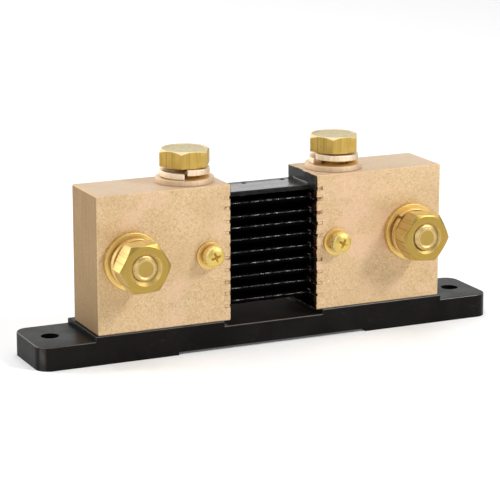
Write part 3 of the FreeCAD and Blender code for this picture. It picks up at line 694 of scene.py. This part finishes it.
# Each metal's shades, as hardware_material takes them, and how much duller than polished it is.
HARDWARE = {
    "turned_brass": ((214, 187, 118), (232, 209, 148), (150, 120, 60), (165, 133, 50), 0.09),
    "washer_brass": ((216, 184, 110), (232, 204, 136), (168, 130, 64), (236, 204, 126), 0.15),
    "bolt_brass": ((196, 164, 86), (216, 186, 106), (134, 112, 48), (172, 144, 74), 0.08),
    # screw_brass is a paler copy of the brass, a painted highlight on the sense screws' domes.
    "screw_brass": ((244, 222, 146), (252, 236, 176), (150, 118, 48), (218, 188, 98), 0.16),
    # pale_brass and pale_spring are paler copies for the washers that face up, a painted highlight from the
    # light above.
    "pale_brass": ((222, 200, 170), (232, 212, 186), (208, 184, 154), (228, 206, 176), 0.25),
    "pale_spring": ((238, 216, 186), (246, 230, 208), (218, 190, 160), (240, 218, 190), 0.12),
    "gold_spring": ((226, 190, 120), (240, 212, 152), (190, 148, 84), (222, 186, 116), 0.12),
}
# The top flat washers carry the gold painted reflection under their spring washers.
SPECIAL = {"bolt_brass": {"is_bolt": True}, "pale_brass": {"gold_reflection_radius": SPRING["radius"]}}
METALS = {}
for metal_name, (*metal_shades, metal_dullness) in HARDWARE.items():
    METALS[metal_name] = hardware_material(metal_name, metal_shades, metal_dullness,
                                           **SPECIAL.get(metal_name, {}))
BLOCK = block_material()
PAINT = gloss_paint_material()
DULL_PAINT = dull_paint_material()
PLASTIC = base_material()
BRAZE = braze_material()
ZINC = zinc_material()

# ------------------ hardware


def hex_body(low, high, bevel_high, before, after):
    """A hexagon's sides from low to high, with the outline points that come before and after them.
    Without a bevel, the high face keeps its full corners."""
    columns = []
    for angle, radius in HEXAGON:
        drop = (radius - HEX_BEVEL_RADIUS) * TAN_30
        outline = [*before, (HEX_BEVEL_RADIUS, low), (radius, low + drop),
                   (radius, high - (drop if bevel_high else 0)), (HEX_BEVEL_RADIUS, high), *after]
        columns += turned(rounded(outline, EDGE_ROUND), [angle])
    return grid(columns, True)


def make_nut(name, shift, place):
    """An M10 nut with a countersink at each end; it spans 0 to its height. Its thread is moved up by
    shift, to mesh with the bolt it stands on."""
    body = hex_body(0, NUT_HEIGHT, True, [(NUT_MOUTH_RADIUS, 0)], [(NUT_MOUTH_RADIUS, NUT_HEIGHT)])

    def bore(height, angle):
        threaded = max(thread_radius(height - shift, angle, M10) + THREAD_GAP, NUT_BORE)
        to_face = min(height, NUT_HEIGHT - height)
        return max(threaded, NUT_MOUTH_RADIUS - to_face * NUT_MOUTH_SLOPE)

    sleeve = thread_sleeve(HEX_ANGLES, 0, NUT_HEIGHT, M10, bore, shift)
    return make_piece(name, *joined(body, sleeve), place, METALS["turned_brass"])


def make_hex_bolt(name, length, place):
    """An M10 bolt: its threaded shank runs up +Z from the underside of its head."""
    sunk = HEAD_DISH - HEAD_HEIGHT
    hollow = [(0, sunk), (HEAD_DISH_RADIUS - HEAD_DISH, sunk), (HEAD_DISH_RADIUS, -HEAD_HEIGHT)]
    under = [(HEX_BEVEL_RADIUS, 0), (M10["root"], 0)]
    head = hex_body(-HEAD_HEIGHT, -HEAD_FACE_HEIGHT, False, hollow, under)

    def shank(height, angle):
        run_out = M10["root"] + height * THREAD_RUN_OUT
        bevel = BOLT_END_RADIUS + (length - height)
        return min(thread_radius(height, angle, M10), run_out, bevel)

    rim = length - BOLT_RIM
    sleeve = thread_sleeve(HEX_ANGLES, 0, rim, M10, shank)
    floor = length - BOLT_DISH
    end = rounded([(BOLT_END_RADIUS + BOLT_RIM, rim), (BOLT_END_RADIUS, length),
                   (BOLT_END_RADIUS - BOLT_DISH_WALL, floor), (0, floor)], BOLT_DISH_ROUND, FINE_ARC)
    body = joined(head, sleeve, grid(turned(end, HEX_ANGLES), True))
    return make_piece(name, *body, place, METALS["bolt_brass"])


def washer_section(size, height):
    """A washer's section, as (radius, height) points that end where they start."""
    low, high = size["bore"], size["radius"]
    corners = [(low, 0), (high, 0), (high, height), (low, height)]
    outline = rounded(corners, size["edge"], FINE_ARC, closed=True)
    return [*outline, outline[0]]


def make_washer(name, size, place, material):
    """A flat washer with rounded edges; it spans 0 to its thickness."""
    columns = turned(washer_section(size, size["thickness"]), even_angles(ROUND_STEPS))
    return make_piece(name, *grid(columns, True), place, material)


def make_spring_washer(name, size, height, place, material):
    """A split spring washer wound left-handed, its two sharp ends standing apart."""
    section = washer_section(size, size["section"])
    columns = []
    for step in range(SPRING_STEPS + 1):
        share = step / SPRING_STEPS
        rise = share * (height - size["section"])
        columns += turned([(r, z + rise) for r, z in section], [-share * SPRING_TURNS * TAU])
    return make_piece(name, *tube(columns), place, material)


def cross_corners(reach, slot, height):
    """The twelve corners of a cross, anticlockwise."""
    quarter = [(reach, slot), (slot, slot), (slot, reach)]
    corners = []
    for cosine, sine in ((1, 0), (0, 1), (-1, 0), (0, -1)):
        for x, y in quarter:
            corners.append((x * cosine - y * sine, x * sine + y * cosine, height))
    return corners


def cross_cutter():
    """A tapered cross that cuts a screw's recess, standing a little above the head."""
    slope = (RECESS_REACH - RECESS_FLOOR_REACH) / RECESS_DEPTH
    slot_slope = (RECESS_SLOT - RECESS_FLOOR_SLOT) / RECESS_DEPTH
    floor_height = SENSE_HEAD_HEIGHT - RECESS_DEPTH
    top = cross_corners(RECESS_REACH + slope * CUTTER_OVER, RECESS_SLOT + slot_slope * CUTTER_OVER,
                        SENSE_HEAD_HEIGHT + CUTTER_OVER)
    floor = cross_corners(RECESS_FLOOR_REACH, RECESS_FLOOR_SLOT, floor_height)
    tip = (0, 0, floor_height - RECESS_TIP)
    vertices = top + floor + [tip]
    count = len(top)
    faces = [tuple(range(count))]
    for index in range(count):
        ahead = (index + 1) % count
        faces.append((index, ahead, count + ahead, count + index))
        faces.append((count + index, count + ahead, 2 * count))
    return vertices, faces


def sense_dome():
    """Outline points of a sense screw's domed top, from its middle to its side."""
    dome = []
    dome_height = SENSE_HEAD_HEIGHT - SENSE_HEAD_SIDE
    for step in range(DOME_STEPS + 1):
        turn = math.radians(90) * step / DOME_STEPS
        dome.append((SENSE_HEAD_RADIUS * math.sin(turn) ** DOME_WIDTH_POWER,
                     SENSE_HEAD_SIDE + dome_height * math.cos(turn) ** DOME_HEIGHT_POWER))
    return dome


def make_sense_screw(name, place):
    """An M4 pan head screw with a cross recess; its threaded shank runs down -Z from its head."""
    angles = even_angles(SENSE_ROUND_STEPS)
    end_radius = M4["root"] - SENSE_END_BEVEL
    under = rounded([(SENSE_HEAD_RADIUS, SENSE_HEAD_SIDE), (SENSE_HEAD_RADIUS, 0), (M4["root"], 0)],
                    SENSE_EDGE_ROUND)
    head = grid(turned([*sense_dome()[:-1], *under], angles), True)

    def shank(height, angle):
        run_out = M4["root"] - height * THREAD_RUN_OUT
        bevel = end_radius + (height + SENSE_LENGTH)
        return min(thread_radius(height, angle, M4), run_out, bevel)

    sleeve = thread_sleeve(angles, -SENSE_LENGTH, 0, M4, shank)
    end = grid(turned([(end_radius, -SENSE_LENGTH), (0, -SENSE_LENGTH)], angles), True)
    piece = make_piece(name, *joined(head, sleeve, end), place, METALS["screw_brass"])
    cutter = make_piece(name + "_cutter", *cross_cutter(), place, METALS["screw_brass"])
    cut_by(piece, cutter)
    soften_edges(piece, RECESS_BEVEL)
    return piece


def cut_by(piece, cutter):
    """Cut one mesh out of another for good, and remove the cutter."""
    cut = piece.modifiers.new("cut", "BOOLEAN")
    cut.operation = "DIFFERENCE"
    cut.solver = "EXACT"
    cut.object = cutter
    bpy.context.view_layer.update()
    evaluated = piece.evaluated_get(bpy.context.evaluated_depsgraph_get())
    mesh = bpy.data.meshes.new_from_object(evaluated)
    piece.modifiers.clear()
    old = piece.data
    piece.data = mesh
    mesh.name = old.name
    bpy.data.meshes.remove(old)
    shade(mesh, METAL_CREASE)
    bpy.data.objects.remove(cutter)


# ------------------ places

# How far a piece's own +Z axis leans from upright, in degrees, to point each way.
UP, FORWARD, DOWN = 0, 90, 180


def middle_of(node):
    """The middle of a CAD node's box, with its low and high corners."""
    low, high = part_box(node)
    return (low + high) / 2, low, high


def laid(x, y, z, way, degrees=0.0):
    """A place whose own +Z axis points one of the three ways, turned about that axis."""
    lean = Matrix.Rotation(math.radians(way), 4, "X")
    return Matrix.Translation((x, y, z)) @ lean @ Matrix.Rotation(math.radians(degrees), 4, "Z")


def stands_for(piece, node):
    """Put a piece in a CAD node's place, riding on the body that holds the node."""
    bodies = frame["record"]["behaviour"]["bodies"]
    body = next(name for name, members in bodies.items() if node in members)
    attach(piece, body)
    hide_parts(node)


def fit_washer(node, size, metal, place):
    """A flat washer instead of a CAD one."""
    stands_for(make_washer(f"{node}_piece", size, place, METALS[metal]), node)


def fit_spring(node, size, metal, place, height):
    """A spring washer, squeezed to a height in metres, instead of a CAD one."""
    spring = make_spring_washer(f"{node}_piece", size, height / MM, place, METALS[metal])
    stands_for(spring, node)


def fit_terminal(side):
    """The bolt through a block, its rear washer, and the washers and nut on its front end."""
    nut = f"{side}_terminal_nut"
    centre, _, nut_rear = middle_of(nut)
    x, z = centre.x, centre.z
    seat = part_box(f"{side}_terminal_rear_washer")[1].y
    bolt = make_hex_bolt(f"{side}_terminal_bolt_piece", TERMINAL_BOLT_LENGTH, laid(x, seat, z, FORWARD))
    stands_for(bolt, f"{side}_terminal_bolt")
    # The bolt's thread starts at its head, so the nut's is moved back by the way between the two.
    shift = NUT_TURN[side] / 360 * M10["pitch"] - (seat - nut_rear.y) / MM
    nut_place = laid(x, nut_rear.y, z, FORWARD, NUT_TURN[side])
    stands_for(make_nut(f"{nut}_piece", shift, nut_place), nut)
    for end in ("rear", "flat"):
        node = f"{side}_terminal_{end}_washer"
        fit_washer(node, WASHER, "washer_brass", laid(x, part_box(node)[1].y, z, FORWARD))
    node = f"{side}_terminal_spring_washer"
    low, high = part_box(node)
    place = laid(x, high.y, z, FORWARD, TERMINAL_SPRING_TURN[side])
    fit_spring(node, SPRING, "gold_spring", place, high.y - low.y)


def fit_top_bolt(side):
    """The bolt in a block's top with its flat and spring washers."""
    node = f"{side}_top_flat_washer"
    centre, low, _ = middle_of(node)
    x, y = centre.x, centre.y
    fit_washer(node, WASHER, "pale_brass", laid(x, y, low.z, UP))
    node = f"{side}_top_spring_washer"
    low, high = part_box(node)
    place = laid(x, y, low.z, UP, TOP_SPRING_TURN[side])
    fit_spring(node, SPRING, "pale_spring", place, high.z - low.z)
    node = f"{side}_top_bolt"
    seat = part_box(node)[1].z - HEAD_HEIGHT * MM
    place = laid(x, y, seat, DOWN, TOP_BOLT_TURN[side])
    stands_for(make_hex_bolt(f"{node}_piece", TOP_BOLT_LENGTH, place), node)


def fit_sense_screw(side):
    """The small screw that holds a sense lead, with its loose washer and its spring washer."""
    node = f"{side}_sense_washer"
    centre, _, high = middle_of(node)
    fit_washer(node, SMALL_WASHER, "washer_brass", laid(centre.x, high.y, centre.z, FORWARD))
    node = f"{side}_sense_screw"
    centre, low, _ = middle_of(node)
    x, z = centre.x, centre.z
    place = laid(x, low.y + SENSE_HEAD_HEIGHT * MM, z, FORWARD, SENSE_TURN[side])
    stands_for(make_sense_screw(f"{node}_piece", place), node)
    node = f"{side}_sense_spring_washer"
    low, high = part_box(node)
    place = laid(x, high.y, z, FORWARD, SENSE_SPRING_TURN[side])
    fit_spring(node, SMALL_SPRING, "gold_spring", place, high.y - low.y)


# ------------------ blades, paint and braze


def wander(x, y, z, wave, seed):
    """Smooth noise at a point in millimetres; a wave is its height and its feature size."""
    height, scale = wave
    return height * noise.noise(Vector((x / scale + WANDER_STEP * seed, y / scale, z / scale)))


def blade_outline():
    """Points (y, z) round a blade's section, with rounded corners and evenly spaced on its flat sides."""
    y, z = BLADE_HALF_DEPTH, BLADE_HALF_THICKNESS
    arcs = rounded([(y, z), (-y, z), (-y, -z), (y, -z)], BLADE_EDGE, BLADE_EDGE_STEPS, closed=True)
    outline = []
    for index, point in enumerate(arcs):
        following = arcs[(index + 1) % len(arcs)]
        parts = max(1, round((following - point).length / BLADE_ROUND_STEP))
        outline += [point.lerp(following, part / parts) for part in range(parts)]
    return outline


def painted_point(x, y, z, blade_z, seed, sag):
    """Where the paint's surface lies over a point of a blade, with waves, beads and a hanging drip."""
    free = min(max((HALF_GAP - abs(x)) / PAINT_FADE, 0), 1)
    swell = (wander(x, y, blade_z, PAINT_WAVE, seed)
             + wander(x, y, blade_z, PAINT_RIPPLE, seed + RIPPLE_SEED))
    front = max(0.0, (-y - BEAD_FROM) / BEAD_WIDTH)
    rear = max(0.0, (y - BEAD_FROM) / BEAD_WIDTH)
    push = wander(x, 0, blade_z, EDGE_WAVE, seed + EDGE_SEED) * front
    outward = y / BLADE_HALF_DEPTH if abs(y) > BLADE_EDGE_FROM else 0
    below = DRIP_TOP_SHARE * sag if z > 0 else sag + PAINT_BEAD
    above = PAINT_BEAD if z > 0 else 0
    rise = swell * math.copysign(FLAT_SHARE, z) - below * front + above * rear
    return x, y + free * (swell * outward - push), z + free * rise


def make_blade(index, node):
    """A resistance blade under black paint: the surface wanders, and drips hang from its front."""
    centre, low, high = middle_of(node)
    blade_y, blade_z = centre.y / MM, centre.z / MM
    half_length = (high.x - low.x) / 2 / MM
    chance = random.Random(DRIP_SEED + index)
    drips = [(chance.uniform(-DRIP_REACH, DRIP_REACH), chance.uniform(*DRIP_SIZE),
              chance.uniform(*DRIP_WIDTH)) for _ in range(DRIP_COUNT)]
    outline = blade_outline()
    steps = round(2 * half_length / BLADE_STEP)
    columns = []
    for step in range(steps + 1):
        x = -half_length + 2 * half_length * step / steps
        sag = sum(size * math.exp(-((x - at) / width) ** 2) for at, size, width in drips)
        column = [painted_point(x, y, z, blade_z, index, sag) for y, z in outline]
        columns.append([*column, column[0]])
    place = Matrix.Translation((0, blade_y * MM, blade_z * MM))
    paint = PAINT if index == 0 else DULL_PAINT
    piece = make_piece(f"{node}_painted", *tube(columns), place, paint, SOFT_CREASE)
    if index == 0:
        cut_calibration_holes(piece, place)
    stands_for(piece, node)


def cut_calibration_holes(piece, place):
    """Two small round holes near the rear edge of the uppermost blade."""
    reach, sides = HOLE_CUTTER_REACH, HOLE_SIDES
    circle = [(HOLE_RADIUS * math.cos(a), HOLE_RADIUS * math.sin(a))
              for a in even_angles(sides)]
    faces = [tuple(range(sides)), tuple(range(2 * sides - 1, sides - 1, -1))]
    for corner in range(sides):
        ahead = (corner + 1) % sides
        faces.append((corner, ahead, sides + ahead, sides + corner))
    for number, x in enumerate(HOLE_PLACES):
        vertices = [(x + cx, HOLE_Y + cy, z) for z in (-reach, reach) for cx, cy in circle]
        cut_by(piece, make_piece(f"hole_cutter_{number}", vertices, faces, place, PAINT))


def fillet_ring(blade_y, blade_z, face_x, sign, seed):
    """Paint drawn into the corner between a blade and a block, all round the blade."""
    outline = blade_outline()
    count = len(outline)
    columns = []
    for index, point in enumerate(outline):
        ahead = outline[(index + 1) % count] - outline[index - 1]
        outward = Vector((ahead.y, -ahead.x)).normalized()
        if outward.dot(point) < 0:
            outward.negate()
        size = FILLET_SIZE + wander(point.x, point.y, blade_z, FILLET_WAVE, seed)
        front = max(0.0, (-point.x - FILLET_FRONT_FROM) / FILLET_FRONT_LENGTH)
        size = max(FILLET_LEAST, size * (1 + FILLET_FRONT_GROWTH * front))
        column = [(FILLET_IN_BLOCK, -FILLET_IN_BLADE), (FILLET_IN_BLOCK, size)]
        for step in range(FILLET_STEPS + 1):
            turn = math.radians(90) * step / FILLET_STEPS
            column.append((-size * (1 - math.cos(turn)), size * (1 - math.sin(turn))))
        column += [(-size, -FILLET_IN_BLADE), (FILLET_IN_BLOCK, -FILLET_IN_BLADE)]
        ring = []
        for along, out in column:
            spot = point + outward * out
            ring.append((face_x + sign * along, blade_y + spot.x, blade_z + spot.y))
        columns.append(ring)
    return grid(columns, True)


def make_paint_fillets(side):
    """One block's paint fillets, glossy round the uppermost blade and dull in the gaps below it."""
    sign = SIDES[side]
    low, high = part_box(f"{side}_block")
    face_x = (low.x if sign > 0 else high.x) / MM
    rings = []
    for index, blade in enumerate(BLADES):
        centre, _, _ = middle_of(blade)
        seed = index + FILLET_SEED * (sign + 2)
        rings.append(fillet_ring(centre.y / MM, centre.z / MM, face_x, sign, seed))
    for name, chosen, material in (("top", rings[:1], PAINT), ("lower", rings[1:], DULL_PAINT)):
        piece = make_piece(f"{side}_{name}_paint_fillets", *joined(*chosen), Matrix(), material, SOFT_CREASE)
        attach(piece, "root")


def braze_lump(sign, start, end, middle_z, index, chance):
    """A lump of braze from start to end along Y, in the saw cut at a height; sign is the block's side.
    Its outer end, the one away from the blade, is sunk a little behind the block's face."""
    sunk = chance.uniform(*BRAZE_SUNK)
    z0 = middle_z + chance.uniform(*BRAZE_LIFT)
    half_z = chance.uniform(*BRAZE_HALF_HEIGHT)
    far = HALF_GAP + SAW_CUT - chance.uniform(*BRAZE_SHORT)
    near = HALF_GAP + chance.uniform(*BRAZE_INNER)
    if abs(start) > abs(end):
        start += sunk
    else:
        end -= sunk
    outline = rounded([(near, z0 - half_z), (far, z0 - half_z), (far, z0 + half_z), (near, z0 + half_z)],
                      BRAZE_ROUND, closed=True)
    outline.append(outline[0])
    columns = []
    for step in range(BRAZE_STEPS + 1):
        y = start + (end - start) * step / BRAZE_STEPS
        swell = wander(y, index, sign, BRAZE_WAVE, index)
        columns.append([(sign * x, y, z + swell) for x, z in outline])
    return tube(columns)


def make_braze(side):
    """Lumps of braze that close each saw cut before and behind its blade, uneven and sunk back."""
    node = f"{side}_braze"
    chance = random.Random(BRAZE_SEED[side])
    low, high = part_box(node)
    lumps = []
    for index, blade in enumerate(BLADES):
        centre, blade_low, blade_high = middle_of(blade)
        for start, end in ((low.y, blade_low.y), (blade_high.y, high.y)):
            lumps.append(braze_lump(SIDES[side], start / MM, end / MM, centre.z / MM, index, chance))
    piece = make_piece(f"{node}_lumps", *joined(*lumps), Matrix(), BRAZE, SOFT_CREASE)
    stands_for(piece, node)


def dress_node(node, material):
    """Give a CAD node that stays as it is its finish."""
    thing = frame["nodes"][node]
    thing.data.materials.clear()
    thing.data.materials.append(material)
    shade(thing.data, SOFT_CREASE)


# ------------------ camera, lights and floor


CAMERA = {"azimuth": -24.85, "elevation": 13.74, "distance": 816.0, "target": (-4.0, -2.0, 32.5)}
LENS = 161.3
NEAREST_SEEN = 0.01
WORLD_STRENGTH = 0.2
FLOOR_HALF = 12.0
FLOOR_GLOW = 0.1

# Soft lights, in metres and watts: place, target, size, power.
OBJECT_MIDDLE = (0.0, 0.0, 0.03)
LIGHTS = {
    "key": ((0.66, -0.75, 0.75), OBJECT_MIDDLE, (0.26, 0.26), 10.0),
    "fill": ((-0.85, -0.65, 0.60), OBJECT_MIDDLE, (0.36, 0.36), 3.4),
    "rim": ((-1.0, 0.75, 0.50), OBJECT_MIDDLE, (0.50, 0.50), 7.0),
    "top": ((0.0, 0.10, 1.20), OBJECT_MIDDLE, (0.9, 0.9), 4.6),
    "backdrop": ((0.0, 1.3, 0.85), (0.0, 0.0, 0.85), (3.0, 1.6), 17.0),
}


def make_camera():
    """A long lens, to the front left of the object and a little above it."""
    azimuth, elevation = math.radians(CAMERA["azimuth"]), math.radians(CAMERA["elevation"])
    back = Vector((math.sin(azimuth) * math.cos(elevation), -math.cos(azimuth) * math.cos(elevation),
                   math.sin(elevation)))
    data = bpy.data.cameras.new("camera")
    data.lens = LENS
    data.clip_start = NEAREST_SEEN
    camera = new_object("camera", data)
    camera.location = Vector(CAMERA["target"]) * MM + back * (CAMERA["distance"] * MM)
    camera.rotation_mode = "QUATERNION"
    camera.rotation_quaternion = (-back).to_track_quat("-Z", "Y")
    bpy.context.scene.camera = camera


def add_light(name, place, target, size, power):
    """A soft light at a place, aimed at a target, that the camera doesn't see."""
    data = bpy.data.lights.new(name, "AREA")
    data.shape = "RECTANGLE"
    data.size, data.size_y = size
    data.energy = power
    light = new_object(name, data)
    light.location = place
    light.rotation_mode = "QUATERNION"
    light.rotation_quaternion = (Vector(target) - Vector(place)).to_track_quat("-Z", "Y")
    light.visible_camera = False


def add_floor():
    """A large pale floor, which glows a little so that it looks white."""
    s = Shader("pale_floor")
    tone = s.mix(s.noise(3), (246, 246, 246), (250, 250, 250))
    material = s.finish(Base_Color=tone, Roughness=0.9, Emission_Color=tone, Emission_Strength=FLOOR_GLOW)
    mesh = bpy.data.meshes.new("floor")
    half = FLOOR_HALF
    corners = [(-half, -half, 0), (half, -half, 0), (half, half, 0), (-half, half, 0)]
    mesh.from_pydata(corners, [], [(0, 1, 2, 3)])
    mesh.materials.append(material)
    floor = new_object("floor", mesh)


def make_stage():
    """The world, the floor and the lights."""
    scene = bpy.context.scene
    scene.view_settings.view_transform = "Standard"
    world = bpy.data.worlds.new("studio")
    world.use_nodes = True
    background = world.node_tree.nodes["Background"].inputs
    background["Color"].default_value = (1, 1, 1, 1)
    background["Strength"].default_value = WORLD_STRENGTH
    scene.world = world
    add_floor()
    for name, (place, target, size, power) in LIGHTS.items():
        add_light(name, place, target, size, power)


# ------------------ the whole


make_camera()
make_stage()
for which in SIDES:
    dress_node(f"{which}_block", BLOCK)
    fit_terminal(which)
    fit_top_bolt(which)
    fit_sense_screw(which)
    make_paint_fillets(which)
    make_braze(which)
for number, name in enumerate(BLADES):
    make_blade(number, name)
dress_node("base", PLASTIC)
dress_node("base_fixing_screws", ZINC)
dress_node("base_fixing_washers", ZINC)
